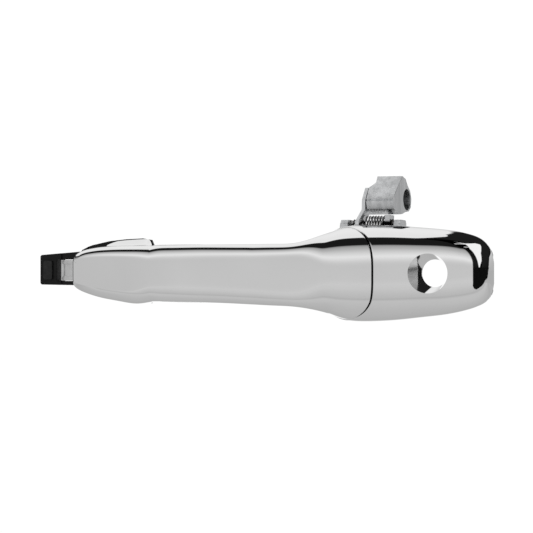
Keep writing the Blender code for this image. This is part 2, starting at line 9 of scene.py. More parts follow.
import bmesh
import bpy
import numpy as np
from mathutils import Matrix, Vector


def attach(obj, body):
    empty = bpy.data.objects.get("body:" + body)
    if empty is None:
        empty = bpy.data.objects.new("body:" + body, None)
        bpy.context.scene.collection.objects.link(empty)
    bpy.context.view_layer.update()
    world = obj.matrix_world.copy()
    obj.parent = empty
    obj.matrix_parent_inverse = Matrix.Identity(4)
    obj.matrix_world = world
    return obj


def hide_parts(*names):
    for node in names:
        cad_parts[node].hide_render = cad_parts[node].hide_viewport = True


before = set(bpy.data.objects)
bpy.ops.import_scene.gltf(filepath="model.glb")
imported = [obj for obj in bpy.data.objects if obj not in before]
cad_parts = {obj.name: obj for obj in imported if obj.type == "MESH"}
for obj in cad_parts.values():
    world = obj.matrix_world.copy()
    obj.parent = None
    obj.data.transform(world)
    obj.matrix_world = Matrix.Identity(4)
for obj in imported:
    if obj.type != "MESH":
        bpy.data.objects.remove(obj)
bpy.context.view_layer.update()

MM = 0.001
WALL = 2.2                      # wall of the plated mouldings
LIP = 2.6                       # how far a moulding's edge turns in at the parting
EDGE_R = 0.35                   # rounding of the moulded edges
LIP_ROWS_BACK = 5               # the inner skin stops this many rows short of the lip

# Body outline from outside, as (x, z), and the skirt over the top of the front foot.
TOP_EDGE = [(-174.7, 7.6), (-172.0, 9.8), (-166.0, 12.0), (-155.0, 13.5), (-140.0, 14.1),
            (-125.0, 14.0), (-105.0, 14.1), (-90.0, 14.3), (-60.0, 14.5), (-51.0, 14.7), (-47.3, 15.1),
            (-43.2, 16.4), (-39.1, 18.3), (-35.0, 20.4), (-30.9, 22.5), (-26.8, 23.7),
            (-18.0, 24.0), (-7.0, 23.8), (1.0, 23.4), (13.0, 22.4), (21.0, 21.7),
            (29.0, 20.5), (36.6, 18.5), (41.0, 15.8), (44.4, 11.2), (45.7, 6.5)]
BOTTOM_EDGE = [(-174.7, -6.5), (-170.5, -8.9), (-161.8, -11.8), (-153.9, -13.5), (-144.3, -14.8),
               (-137.6, -15.9), (-132.6, -16.2), (-129.6, -15.8), (-125.6, -14.5), (-116.0, -14.3),
               (-90.0, -14.7), (-60.0, -16.0), (-51.0, -16.5), (-47.3, -16.9),
               (-43.2, -17.8), (-39.1, -18.8), (-35.0, -20.4), (-30.9, -22.6), (-26.8, -24.0),
               (-20.0, -24.4), (-7.0, -23.9), (1.0, -23.2), (13.0, -21.7), (21.0, -20.8),
               (29.0, -19.2), (36.6, -17.0), (41.0, -14.6), (44.4, -10.8), (45.7, -6.5)]
SKIRT_TOP = [(-174.7, 7.6), (-172.4, 11.2), (-166.1, 14.3), (-159.1, 16.0), (-148.8, 17.4),
             (-133.7, 18.0), (-127.5, 17.8)]
# The chrome's skirt stops this far below the top edge of the black inner cover.
SKIRT_TRIM = [(-174.7, 0.4), (-171.0, 2.2), (-163.0, 2.4), (-155.0, 1.1), (-148.0, 0.6), (-129.0, 0.4)]
SKIRT_END_X = -127.6
SKIRT_END_RUN = 5.2             # length over which the skirt gains its last share of height
SKIRT_END_SHARE = 0.22
SKIRT_DEPTH = 11.0              # from the door to where the skirt meets the body
SKIRT_CURVE = 0.45
SKIRT_BLEND = 0.6
# Plan view of the outermost and the widest line, as (x, y).
FRONT_FACE = [(-174.7, -8.6), (-172.0, -11.6), (-165.0, -15.6), (-150.0, -21.6), (-130.0, -27.6),
              (-100.0, -33.4), (-70.0, -35.8), (-40.0, -34.6), (-20.0, -32.0), (-8.5, -30.0),
              (0.0, -28.6), (13.0, -26.2), (21.0, -24.0), (29.0, -21.0), (36.6, -16.6),
              (41.0, -12.6), (44.4, -7.6), (45.7, -3.2)]
WIDEST = [(-174.7, -3.6), (-136.0, -3.6), (-131.0, -6.0), (-125.0, -19.0), (-118.0, -24.6),
          (-90.0, -27.6), (-70.0, -27.0), (-63.0, -24.0), (-57.0, -13.0), (-52.0, -5.0),
          (-48.0, -3.6), (-8.0, -3.6)]
# Squareness of the section's upper corners; the lower ones are squarer by CORNER_EXTRA.
CORNER_TOP = [(-174.7, 5.0), (-170.0, 7.5), (-155.0, 7.6), (-132.0, 7.6), (-122.0, 5.0),
              (-100.0, 5.4), (-80.0, 6.2), (-60.0, 6.8), (-48.0, 7.6), (-41.0, 6.0),
              (-34.0, 3.4), (-25.0, 2.9), (0.0, 3.0), (25.0, 3.1), (45.7, 2.7)]
CORNER_EXTRA = 0.6
FACE_CURVE = 2.3
# Depth of the rounded front of the section; behind it the sides run straight.
CROWN = [(-174.7, 3.5), (-165.0, 5.0), (-150.0, 7.5), (-135.0, 9.0), (-60.0, 9.0), (-48.0, 9.5),
         (-42.0, 13.0), (-36.0, 22.0), (-30.0, 34.0), (-20.0, 40.0), (45.7, 40.0)]
CROWN_SHARE = 0.96              # the most of the section's depth that the crown takes
SIDE_TURN = math.radians(78.0)  # turn at which the crown meets the straight side
# Height of the crease along the lower third, and how far the surface below it leans in.
CREASE = [(-174.7, -5.0), (-160.0, -8.8), (-145.0, -10.2), (-125.0, -11.2), (-90.0, -12.0),
          (-50.0, -13.2), (-20.0, -13.8), (5.0, -13.9), (30.0, -12.5), (45.7, -9.0)]
CREASE_TILT = [(-174.7, 0.10), (-160.0, 0.28), (-60.0, 0.30), (-10.0, 0.26), (14.0, 0.12),
               (30.0, 0.0)]
CREASE_SOFT = 0.25

# Parting curve between grip and cap in plan, a parabola from its outer end.
PARTING_X, PARTING_Y, PARTING_SLOPE, PARTING_BEND = -8.5, -30.0, 0.87, 0.011
PARTING_GAP = 0.8
GRIP_INSET = 0.5
CAP_RIM_Y = -1.8
GRIP_TIP_X, CAP_TIP_X = -174.7, 45.7
GRIP_TIP_R, CAP_TIP_R = 1.6, 1.8
TIP_ROOM = 2.2                  # the plain rows start this far from a tip

# Key recess: a dished mouth whose floor lies a little further to the rear.
KEY_X, KEY_RIM_X, KEY_HOLE_X = 17.2, 17.85, 18.8
KEY_RIM_R, KEY_HOLE_R, KEY_SQUEEZE = 9.8, 6.7, 0.93
KEY_FACE_Y, KEY_FLOOR_Y, KEY_BACK_Y, KEY_BOSS_R = -25.4, -14.2, -13.4, 11.8
KEY_CUT_ROOM = 8.0              # how far the recess's cutter starts in front of the cap
BOSS_FRONT_Y, BOSS_SINK = -20.2, 1.2

# Painted shade on the crank hub, which lies right of this place and below this height.
HUB_SHADE_FROM_X, HUB_SHADE_TOP_Z = -22.4, 26.6

VIEW_AZIMUTH = 17.0
VIEW_DISTANCE = 0.755
VIEW_LENS = 100.0
VIEW_TARGET = Vector((-0.0705, 0.0, 0.0033))


# ---- tracks along the body -------------------------------------------------
def track(stations, x, sigma=4.0):
    """Smooth line through (x, value) stations, softened by sigma except near the tips."""
    xs = np.array([s[0] for s in stations])
    vs = np.array([s[1] for s in stations])
    step = np.diff(xs)
    rise = np.diff(vs) / step
    slope = np.zeros(len(xs))
    slope[0], slope[-1] = rise[0], rise[-1]
    same = rise[:-1] * rise[1:] > 0
    slope[1:-1][same] = 2 * rise[:-1][same] * rise[1:][same] / (rise[:-1][same] + rise[1:][same])

    def value(q):
        q = np.clip(q, xs[0], xs[-1])
        k = np.clip(np.searchsorted(xs, q, side="right") - 1, 0, len(step) - 1)
        t = (q - xs[k]) / step[k]
        return ((2 * t**3 - 3 * t**2 + 1) * vs[k] + (t**3 - 2 * t**2 + t) * step[k] * slope[k]
                + (3 * t**2 - 2 * t**3) * vs[k + 1] + (t**3 - t**2) * step[k] * slope[k + 1])

    x = np.asarray(x, float)
    near_tip = np.minimum(x - GRIP_TIP_X, CAP_TIP_X - x)
    width = np.clip(near_tip * 0.3, 0.14, sigma)
    total, weight = np.zeros_like(x), 0.0
    for k in range(-6, 7):
        share = math.exp(-0.5 * (k / 3.0) ** 2)
        total += share * value(x + width * k / 3.0)
        weight += share
    return total / weight


def smooth_max(a, b, soft):
    """The larger of a and b, rounded where they cross."""
    over = np.clip(soft - np.abs(a - b), 0, None) / soft
    return np.maximum(a, b) + over * over * soft / 4.0


def grip_inset(x):
    """The grip's rear end stands slightly inside the cap's outline."""
    share = np.clip((x + 62.0) / 24.0, 0, 1)
    return GRIP_INSET * share * share * (3 - 2 * share)


def body_point(x, turn, inset=0.0, rim=None):
    """Surface point at station x; turn runs from +90 degrees (top rim) to -90 (bottom rim)."""
    top = track(TOP_EDGE, x)
    bottom = track(BOTTOM_EDGE, x)
    middle = (top + bottom) / 2
    height = np.maximum((top - bottom) / 2 - inset, 0.02)
    widest = track(WIDEST, x, 2.5) if rim is None else np.full_like(x, rim)
    reach = np.maximum(widest - track(FRONT_FACE, x) - inset, 0.02)
    corner = track(CORNER_TOP, x)
    crown = np.minimum(reach * CROWN_SHARE, track(CROWN, x))
    wall = np.clip(np.abs(turn) / SIDE_TURN - 1.0, 0, None) * SIDE_TURN / (math.pi / 2 - SIDE_TURN)
    turn = np.clip(turn / SIDE_TURN, -1.0, 1.0) * math.pi / 2
    up, out = np.sin(turn), np.cos(turn)
    square = np.where(up > 0, corner, corner + CORNER_EXTRA)
    radius = np.ones_like(x)
    for _ in range(24):
        level_up = (radius * np.abs(up)) ** square
        level_out = (radius * np.abs(out)) ** FACE_CURVE
        slope = (square * level_up + FACE_CURVE * level_out) / radius
        radius = radius - (level_up + level_out - 1) / slope
    rise = height * radius * up
    depth = crown * radius * out + (reach - crown) * (1.0 - wall)

    below = track(CREASE, x) - (middle + rise)
    rounded = CREASE_SOFT * np.log1p(np.exp(np.clip(below / CREASE_SOFT, -40, 40)))
    fall = np.where(below > 20 * CREASE_SOFT, below, rounded)
    depth = depth - track(CREASE_TILT, x) * fall * np.clip(depth / reach, 0, 1)

    if rim is None:
        end = np.clip((SKIRT_END_X - x) / SKIRT_END_RUN, 0, 1)
        end = 1.0 - SKIRT_END_SHARE * (1.0 - 0.6 * end - 0.4 * end * end * (3 - 2 * end))
        end = np.where(x < SKIRT_END_X, end, 0.0)
        skirt = track(SKIRT_TOP, x, 0.8) - track(SKIRT_TRIM, x, 0.8) - inset - middle
        skirt = skirt * np.clip(1 - depth / SKIRT_DEPTH, 0, 1) ** SKIRT_CURVE * end
        skirted = (up > 0) & (x < SKIRT_END_X + 3)
        rise = np.where(skirted, smooth_max(rise, skirt, SKIRT_BLEND), rise)
    return np.stack([x, widest - depth, middle + rise], axis=-1)


def front_y(x, z):
    """Outer surface's y at (x, z) on the cap."""
    turns = np.radians(np.linspace(-77.0, 77.0, 200))
    line = body_point(np.full_like(turns, x), turns, 0.0, CAP_RIM_Y)
    return float(np.interp(z, line[:, 2], line[:, 1]))


def parting_x(y):
    """Place of the parting curve at depth y."""
    inward = y - PARTING_Y
    return PARTING_X - PARTING_SLOPE * inward - PARTING_BEND * inward**2


def parting_station(turn, rim, shift):
    """Station where the surface line at this turn meets the parting surface."""
    low, high = np.full_like(turn, -60.0), np.full_like(turn, 6.0)
    for _ in range(40):
        mid = (low + high) / 2
        point = body_point(mid, turn, grip_inset(mid) if rim is None else 0.0, rim)
        before = point[..., 0] < parting_x(point[..., 1]) + shift
        low, high = np.where(before, mid, low), np.where(before, high, mid)
    return (low + high) / 2


# ---- mesh making -------------------------------------------------------------
SHARP_ANGLE = math.radians(38.0)


def new_object(name, points, faces):
    mesh = bpy.data.meshes.new(name)
    mesh.from_pydata([tuple(p) for p in np.asarray(points) * MM], [], faces)
    work = bmesh.new()
    work.from_mesh(mesh)
    bmesh.ops.remove_doubles(work, verts=work.verts, dist=2e-6)
    bmesh.ops.recalc_face_normals(work, faces=work.faces)
    work.to_mesh(mesh)
    work.free()
    mesh.shade_smooth()
    mesh.set_sharp_from_angle(angle=SHARP_ANGLE)
    item = bpy.data.objects.new(name, mesh)
    bpy.context.scene.collection.objects.link(item)
    return item


def unit(v):
    return v / np.maximum(np.linalg.norm(v, axis=-1, keepdims=True), 1e-9)


def shell_object(name, rows, lip_direction):
    """Closed moulding from a grid of outer points: rows run along the body, columns round it.

    The inner skin is the outer one moved in by WALL. At the last row, the parting, the
    edge is rounded and turns in along lip_direction.
    """
    normal = unit(np.cross(np.gradient(rows, axis=0), np.gradient(rows, axis=1)))
    centre = rows.mean(axis=1, keepdims=True)
    if np.sum(normal * (rows - centre)) < 0:
        normal = -normal
    inner = (rows - normal * WALL)[:-LIP_ROWS_BACK]
    edge = rows[-1]
    inward = unit(rows[-2] - edge)
    lip = []
    for t in (0.0, 0.25, 0.5, 0.75, 1.0):
        lip.append((1 - t) ** 2 * (edge + inward * EDGE_R) + 2 * t * (1 - t) * edge
                   + t * t * (edge + lip_direction * EDGE_R))
    lip.append(edge + lip_direction * LIP)
    outer = np.concatenate([rows[:-1], np.array(lip)])

    wide = outer.shape[1]
    base = outer.shape[0] * wide
    last = base + (inner.shape[0] - 1) * wide
    faces = []
    for count, start in ((outer.shape[0], 0), (inner.shape[0], base)):
        for s in range(count - 1):
            for t in range(wide - 1):
                a = start + s * wide + t
                faces.append((a, a + 1, a + wide + 1, a + wide))
    for t in range(wide - 1):
        a = base - wide + t
        faces.append((a, a + 1, last + t + 1, last + t))
    for t in (0, wide - 1):
        outer_line = [s * wide + t for s in range(outer.shape[0])]
        inner_line = [base + s * wide + t for s in range(inner.shape[0])]
        inner_line += [inner_line[-1]] * (len(outer_line) - len(inner_line))
        for a, b, c, d in zip(outer_line, outer_line[1:], inner_line[1:], inner_line):
            faces.append((a, b, c, d) if c != d else (a, b, c))
    points = np.concatenate([outer.reshape(-1, 3), inner.reshape(-1, 3)])
    return new_object(name, points, faces)


def tip_rows(x_tip, sign, turns, rim, radius, count=8):
    """Rows that round the body off at a blunt tip and close it to a line."""
    rows = []
    for k in range(count + 1):
        a = math.pi / 2 * k / count
        x = np.full_like(turns, x_tip - sign * radius * (1 - math.cos(a)))
        rows.append(body_point(x, turns, radius * (1 - math.sin(a)), rim))
    flat = rows[0]
    centre = flat.mean(axis=0)
    centre[1] = flat[0][1]
    closing = [centre + (flat - centre) * f for f in (0.02, 0.3, 0.6, 0.85)]
    return np.array(closing + rows)


def lip_inward(edge):
    """Unit directions that turn in from the parting edge, within the parting surface."""
    inward = edge[:, 1] - PARTING_Y
    run = -(PARTING_SLOPE + 2 * PARTING_BEND * inward)
    cross = unit(np.stack([np.ones_like(run), -run, np.zeros_like(run)], axis=-1))
    middle = np.array([0.0, -6.0, 0.0])
    toward = middle - edge
    toward[:, 0] = 0.0
    toward -= np.sum(toward * cross, axis=-1, keepdims=True) * cross
    return unit(toward)


TURNS = np.radians(np.linspace(90.0, -90.0, 129))


def grip_rows():
    """Rows of the grip's surface from its tip to the parting."""
    tip = tip_rows(GRIP_TIP_X, -1, TURNS, None, GRIP_TIP_R)
    fixed = np.concatenate([np.arange(GRIP_TIP_X + TIP_ROOM, -135.0, 0.8), np.arange(-135.0, -117.0, 0.35),
                            np.arange(-117.0, -72.0, 0.9)])
    rows = [body_point(np.full_like(TURNS, x), TURNS) for x in fixed]
    end = parting_station(TURNS, None, 0.0)
    start = fixed[-1]
    for share in np.linspace(0, 1, 96)[1:]:
        x = start + (end - start) * share
        rows.append(body_point(x, TURNS, grip_inset(x)))
    return np.concatenate([tip, np.array(rows)])


def cap_rows():
    """Rows of the cap's surface from its tip to the parting."""
    tip = tip_rows(CAP_TIP_X, 1, TURNS, CAP_RIM_Y, CAP_TIP_R)
    start = parting_station(TURNS, CAP_RIM_Y, PARTING_GAP)
    last = CAP_TIP_X - TIP_ROOM
    rows = []
    for share in np.linspace(0, 1, 110) ** 0.85:
        rows.append(body_point(last + (start - last) * share, TURNS, 0.0, CAP_RIM_Y))
    return np.concatenate([tip, np.array(rows)])


def lathe(name, profile, centre_x, count=96):
    """Closed body turned about a line along Y; profile lists (place along it, radius)."""
    points, faces = [], []
    for place, radius in profile:
        for k in range(count):
            a = 2 * math.pi * k / count
            points.append((centre_x + radius * math.cos(a), place, radius * math.sin(a)))
    for row in range(len(profile) - 1):
        for k in range(count):
            a, b = row * count + k, row * count + (k + 1) % count
            faces.append((a, b, b + count, a + count))
    faces += [tuple(range(count)), tuple(len(points) - count + k for k in range(count))]
    return new_object(name, points, faces)


def apply_boolean(item, tool, operation="DIFFERENCE"):
    """Cut or join tool into item's own mesh, and remove tool."""
    modifier = item.modifiers.new("cut", "BOOLEAN")
    modifier.operation = operation
    modifier.solver = "EXACT"
    modifier.object = tool
    settle(item)
    bpy.data.objects.remove(tool, do_unlink=True)


def settle(item):
    """Bake the modifiers of an object into its mesh."""
    evaluated = item.evaluated_get(bpy.context.evaluated_depsgraph_get())
    mesh = bpy.data.meshes.new_from_object(evaluated)
    item.modifiers.clear()
    item.data = mesh
    mesh.shade_smooth()
    mesh.set_sharp_from_angle(angle=SHARP_ANGLE)


def make_grip_shell():
    rows = grip_rows()
    shell = shell_object("grip_shell_skin", rows, lip_inward(rows[-1]))
    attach(shell, "grip")
    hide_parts("grip_outer_shell")
    return shell


def make_key_cap():
    rows = cap_rows()
    cap = shell_object("key_cap_skin", rows, lip_inward(rows[-1]))
    boss = lathe("key_boss", [(BOSS_FRONT_Y, KEY_BOSS_R), (KEY_BACK_Y, KEY_BOSS_R)], KEY_X)
    for vertex in boss.data.vertices:
        if vertex.co.y < (BOSS_FRONT_Y + 1.0) * MM:
            vertex.co.y = (front_y(vertex.co.x / MM, vertex.co.z / MM) + BOSS_SINK) * MM
    apply_boolean(cap, boss, "UNION")
    flare = (KEY_RIM_R - KEY_HOLE_R) / (KEY_FLOOR_Y - KEY_FACE_Y)
    profile = [(KEY_FACE_Y - KEY_CUT_ROOM, KEY_RIM_R + flare * KEY_CUT_ROOM),
               (KEY_FLOOR_Y - 0.4, KEY_HOLE_R + 0.15),
               (KEY_FLOOR_Y, KEY_HOLE_R), (-2.0, KEY_HOLE_R)]
    recess = lathe("key_recess", profile, KEY_X)
    lean = (KEY_HOLE_X - KEY_RIM_X) / (KEY_FLOOR_Y - KEY_FACE_Y)
    for vertex in recess.data.vertices:
        inward = min(vertex.co.y / MM, KEY_FLOOR_Y) - KEY_FACE_Y
        aside = (vertex.co.x / MM - KEY_X) * KEY_SQUEEZE
        vertex.co.x = (KEY_RIM_X + lean * inward + aside) * MM
    apply_boolean(cap, recess)
    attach(cap, "base")
    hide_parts("key_cap")
    return cap


# ---- materials -----------------------------------------------------------------
def material(name):
    item = bpy.data.materials.new(name)
    item.use_nodes = True
    nodes, links = item.node_tree.nodes, item.node_tree.links
    return item, nodes, links, nodes["Principled BSDF"]


def noise(nodes, links, scale, detail=3.0, stretch=(1, 1, 1)):
    coords = nodes.new("ShaderNodeTexCoord")
    mapping = nodes.new("ShaderNodeMapping")
    mapping.inputs["Scale"].default_value = stretch
    texture = nodes.new("ShaderNodeTexNoise")
    texture.inputs["Scale"].default_value = scale
    texture.inputs["Detail"].default_value = detail
    links.new(coords.outputs["Object"], mapping.inputs["Vector"])
    links.new(mapping.outputs["Vector"], texture.inputs["Vector"])
    return texture.outputs["Fac"]


def ramp(nodes, links, source, stops):
    item = nodes.new("ShaderNodeValToRGB")
    element = item.color_ramp.elements
    while len(element) < len(stops):
        element.new(0.5)
    for stop, (place, colour) in zip(element, stops):
        stop.position = place
        stop.color = (*colour, 1.0)
    links.new(source, item.inputs["Fac"])
    return item.outputs["Color"]


def bump(nodes, links, shader, height, strength, distance):
    item = nodes.new("ShaderNodeBump")
    item.inputs["Strength"].default_value = strength
    item.inputs["Distance"].default_value = distance
    links.new(height, item.inputs["Height"])
    links.new(item.outputs["Normal"], shader.inputs["Normal"])


def grey(level):
    return (level, level, level)


def finish_material(name, dark, light, metallic, rough, scale, strength, distance,
                    stretch=(1, 1, 1), level=0.5):
    """Principled surface whose colour, roughness and grain vary with a noise."""
    item, nodes, links, shader = material(name)
    shader.inputs["Metallic"].default_value = metallic
    fac = noise(nodes, links, scale, 4.0, stretch)
    links.new(ramp(nodes, links, fac, [(0.3, dark), (0.7, light)]), shader.inputs["Base Color"])
    spread = noise(nodes, links, scale * 0.35, 2.0, stretch)
    links.new(ramp(nodes, links, spread, [(0.3, grey(rough[0])), (0.7, grey(rough[1]))]),
              shader.inputs["Roughness"])
    shader.inputs["Specular IOR Level"].default_value = level
    bump(nodes, links, shader, fac, strength, distance)
    return item


def paint_hub_shade(surface):
    """Paint shade on the hub of the crank, inside its spring, by darkening its colour to near black."""
    nodes, links = surface.node_tree.nodes, surface.node_tree.links
    shader = nodes["Principled BSDF"]
    plain = shader.inputs["Base Color"].links[0].from_socket
    coords = nodes.new("ShaderNodeTexCoord")
    parts = nodes.new("ShaderNodeSeparateXYZ")
    links.new(coords.outputs["Object"], parts.inputs["Vector"])
    right = math_node(nodes, links, "SUBTRACT", parts.outputs["X"], HUB_SHADE_FROM_X * MM)
    right = math_node(nodes, links, "MULTIPLY", right, 2500.0, True)
    below = math_node(nodes, links, "SUBTRACT", HUB_SHADE_TOP_Z * MM, parts.outputs["Z"])
    below = math_node(nodes, links, "MULTIPLY", below, 1200.0, True)
    mix = nodes.new("ShaderNodeMix")
    mix.data_type = "RGBA"
    colours = [socket for socket in mix.inputs if socket.type == "RGBA"]
    # near-black colour of the painted shade on the hub
    colours[1].default_value = (0.01, 0.01, 0.01, 1.0)
    links.new(plain, colours[0])
    links.new(math_node(nodes, links, "MULTIPLY", right, below), mix.inputs["Factor"])
    result = next(socket for socket in mix.outputs if socket.type == "RGBA")
    links.new(result, shader.inputs["Base Color"])
    return surface


def make_materials():
    return {
        "chrome": finish_material("chrome_plate", grey(0.90), grey(0.93), 1.0, (0.025, 0.045), 30.0,
                                  0.02, 0.00005),
        "bright": finish_material("bright_metal", grey(0.62), grey(0.74), 1.0, (0.16, 0.28), 260.0,
                                  0.15, 0.0001),
        "cast": finish_material("zinc_casting", (0.60, 0.61, 0.62), (0.84, 0.85, 0.86), 1.0,
                                (0.20, 0.34), 150.0, 0.16, 0.00012, (3.0, 3.0, 0.25)),
        "steel": finish_material("plated_steel", (0.50, 0.50, 0.48), (0.66, 0.66, 0.63), 1.0,
                                 (0.2, 0.35), 500.0, 0.1, 0.0001),
        "wire": finish_material("spring_wire", grey(0.66), grey(0.82), 1.0, (0.12, 0.22), 700.0,
                                0.1, 0.0001),
        "bronze": finish_material("sintered_bronze", (0.022, 0.018, 0.014), (0.040, 0.031, 0.022), 0.9,
                                  (0.35, 0.5), 900.0, 0.3, 0.0001),
        "black": finish_material("black_plastic", grey(0.003), grey(0.007), 0.0, (0.30, 0.42), 600.0,
                                 0.25, 0.0001, level=0.22),
        "rubber": finish_material("black_rubber", grey(0.012), grey(0.022), 0.0, (0.7, 0.85), 900.0,
                                  0.3, 0.0001),
        "nylon": finish_material("natural_nylon", (0.62, 0.60, 0.52), (0.70, 0.68, 0.60), 0.0,
                                 (0.4, 0.5), 400.0, 0.15, 0.0001),
    }


def dress(node, surface, bevel=0.25):
    """Give a CAD node its material and small edge radii."""
    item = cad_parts[node]
    item.data.materials.clear()
    item.data.materials.append(surface)
    for name in ("custom_normal", "sharp_edge"):
        if name in item.data.attributes:
            item.data.attributes.remove(item.data.attributes[name])
    item.data.shade_smooth()
    weld = item.modifiers.new("weld", "WELD")
    weld.merge_threshold = 0.00001
    edge = item.modifiers.new("edges", "BEVEL")
    edge.width = bevel * MM
    edge.segments = 2
    edge.limit_method = "ANGLE"
    edge.angle_limit = math.radians(32.0)
    item.modifiers.new("normals", "WEIGHTED_NORMAL").keep_sharp = True
    return item


# ---- stage ---------------------------------------------------------------------
def math_node(nodes, links, operation, a, b=None, clamp=False):
    item = nodes.new("ShaderNodeMath")
    item.operation = operation
    item.use_clamp = clamp
    for slot, value in zip(item.inputs, (a, b)):
        if value is None:
            continue
        if isinstance(value, (int, float)):
            slot.default_value = value
        else:
            links.new(value, slot)
    return item.outputs[0]


def levels(nodes, links, value, low, high, stops):
    """Level that runs in straight pieces through (value, level) stops between low and high."""
    share = nodes.new("ShaderNodeMapRange")
    share.inputs["From Min"].default_value = low
    share.inputs["From Max"].default_value = high
    links.new(value, share.inputs["Value"])
    places = [((place - low) / (high - low), grey(level)) for place, level in stops]
    return ramp(nodes, links, share.outputs["Result"], places)


# Brightness round the studio by pitch in degrees: 0 in front, 90 overhead, 180 behind.
ROUND = [(-180, 0.44), (-60, 0.55), (-12, 0.62), (-5, 0.63), (-1, 0.59), (4, 0.58), (8, 0.61), (12, 0.68),
         (17, 0.78), (21, 0.83), (26, 0.76), (32, 0.67), (39, 0.56), (44, 0.47), (50, 0.41), (54, 0.33),
         (57, 0.21), (59, 0.010), (91, 0.010), (93, 0.86), (105, 0.84), (130, 0.88), (150, 0.86),
         (165, 0.66), (180, 0.46)]
# Black flag at the key end and the bright strip in it: swing in degrees by lift.
FLAG_FROM = [(-90, 84), (-24, 80), (-16, 69), (-1, 67), (7, 67), (32, 62), (50, 59), (90, 59)]
FLAG_TO = [(-90, 80), (-24, 80), (-12, 86), (-3, 99), (2, 120), (9, 128), (14, 187), (30, 185), (58, 176),
           (70, 160), (90, 150)]
STRIP_FROM = [(-90, 90), (0, 82), (5, 80), (21, 75), (37, 72), (56, 80), (90, 80)]
STRIP_TO = [(-90, 80), (0, 82), (8, 90), (21, 94), (30, 104), (40, 122), (50, 112), (58, 84), (90, 70)]
# Thin slits beside the strip: lift, half height, and the swing they run from and to.
SLITS = [(59.5, 1.1, 63.0, 86.0), (46.0, 0.9, 65.0, 76.0)]
SLIT_START, SLIT_FALL = 62.0, -0.2
# Glow painted on the floor from front to back, in metres along the view; the floor's brightness is its own
# emission.
FLOOR_GLOW = [(-3.0, 0.60), (-1.5, 0.58), (-0.9, 0.54), (-0.6, 0.51), (-0.46, 0.49), (-0.385, 0.44),
         (-0.33, 0.49), (-0.26, 0.54), (-0.08, 0.52), (0.06, 0.48), (0.25, 0.45), (0.45, 0.42),
         (0.72, 0.42), (1.0, 1.0)]
FLOOR_SIZE, FLOOR_Z = 4.0, -0.32
# The floor's brightly glowing back keeps to the camera's field: its half width at the object's middle
# and its spread, and how much the glow of the rest is held down.
FIELD_HALF, FIELD_SPREAD, FIELD_SHADE = 0.17, 0.2, 0.55
FIELD_START, FIELD_OFFSET = 0.55, 0.067
# Black card at the key end, as (y, z) in metres.
CARD_X = 1.0
CARD_EDGE = [(-0.42, 0.03), (-0.41, -0.18), (-0.34, -0.27), (-0.22, -0.31), (-0.10, -0.22),
             (0.16, -0.05), (0.60, 0.03)]
# The white backdrop in the world: swing and lift that the camera's picture takes in.
BACKDROP_SWING, BACKDROP_LIFT, BACKDROP_LEVEL = (186.2, 207.8), (-10.8, 10.8), 1.03
# Small black flag behind the hook, and the even grey at that end.
HOOK_FLAG_SWING, HOOK_FLAG_LIFT = 208.5, (2.0, 16.0)
HOOK_GREY_X, HOOK_GREY_LIFT, HOOK_GREY = 0.72, (-30.0, 8.0), 0.55


def make_world():
    """Studio as the chrome sees it: pale front, dark slot overhead, black flag at the key end."""
    world = bpy.data.worlds.new("studio")
    bpy.context.scene.world = world
    world.use_nodes = True
    nodes, links = world.node_tree.nodes, world.node_tree.links
    coords = nodes.new("ShaderNodeTexCoord")
    parts = nodes.new("ShaderNodeSeparateXYZ")
    links.new(coords.outputs["Generated"], parts.inputs["Vector"])
    x, y, z = parts.outputs

    def op(operation, a, b=None, clamp=False):
        return math_node(nodes, links, operation, a, b, clamp)

    def past(value, limit, soft):
        return op("ADD", op("DIVIDE", op("SUBTRACT", value, limit), soft), 0.5, True)

    def between(value, low, high, soft):
        return op("MULTIPLY", past(value, low, soft), op("SUBTRACT", 1.0, past(value, high, soft)))

    def bearing(stops):
        shares = [(place, (angle + 90.0) / 360.0) for place, angle in stops]
        return op("SUBTRACT", op("MULTIPLY", levels(nodes, links, lift, -90, 90, shares), 360.0), 90.0)

    def darkened(value, mask, amount):
        return op("MULTIPLY", value, op("SUBTRACT", 1.0, op("MULTIPLY", mask, amount)))

    def blended(value, mask, level):
        return op("ADD", op("MULTIPLY", value, op("SUBTRACT", 1.0, mask)), op("MULTIPLY", mask, level))

    front = op("MULTIPLY", y, -1.0)
    to_degrees = 180.0 / math.pi
    pitch = op("MULTIPLY", op("ARCTAN2", z, front), to_degrees)
    lift = op("MULTIPLY", op("ARCSINE", z), to_degrees)
    swing = op("MULTIPLY", op("ARCTAN2", x, front), to_degrees)
    swing = op("SUBTRACT", op("FLOORED_MODULO", op("ADD", swing, 90.0), 360.0), 90.0)

    value = levels(nodes, links, pitch, -180, 180, ROUND)
    flag = between(swing, bearing(FLAG_FROM), bearing(FLAG_TO), 1.5)
    strip = between(swing, bearing(STRIP_FROM), bearing(STRIP_TO), 1.5)
    fallen = op("SUBTRACT", lift, op("MULTIPLY", op("SUBTRACT", swing, SLIT_START), SLIT_FALL))
    for height, thin, low, high in SLITS:
        slit = between(fallen, height - thin, height + thin, 0.6)
        slit = op("MULTIPLY", slit, between(swing, low, high, 1.5))
        strip = op("MAXIMUM", strip, slit)
    value = darkened(value, flag, 0.985)
    value = blended(value, strip, 0.95)

    hook_flag = op("MULTIPLY", past(swing, HOOK_FLAG_SWING, 2.0), between(lift, *HOOK_FLAG_LIFT, 3.0))
    value = darkened(value, hook_flag, 0.98)
    left = op("MULTIPLY", x, -1.0)
    side = op("MULTIPLY", past(left, HOOK_GREY_X, 0.2), between(lift, *HOOK_GREY_LIFT, 8.0))
    value = blended(value, side, HOOK_GREY)
    backdrop = op("MULTIPLY", between(swing, *BACKDROP_SWING, 0.4), between(lift, *BACKDROP_LIFT, 0.4))
    value = blended(value, backdrop, BACKDROP_LEVEL)
    nodes["Background"].inputs["Color"].default_value = (1.0, 1.0, 1.0, 1.0)
    links.new(value, nodes["Background"].inputs["Strength"])


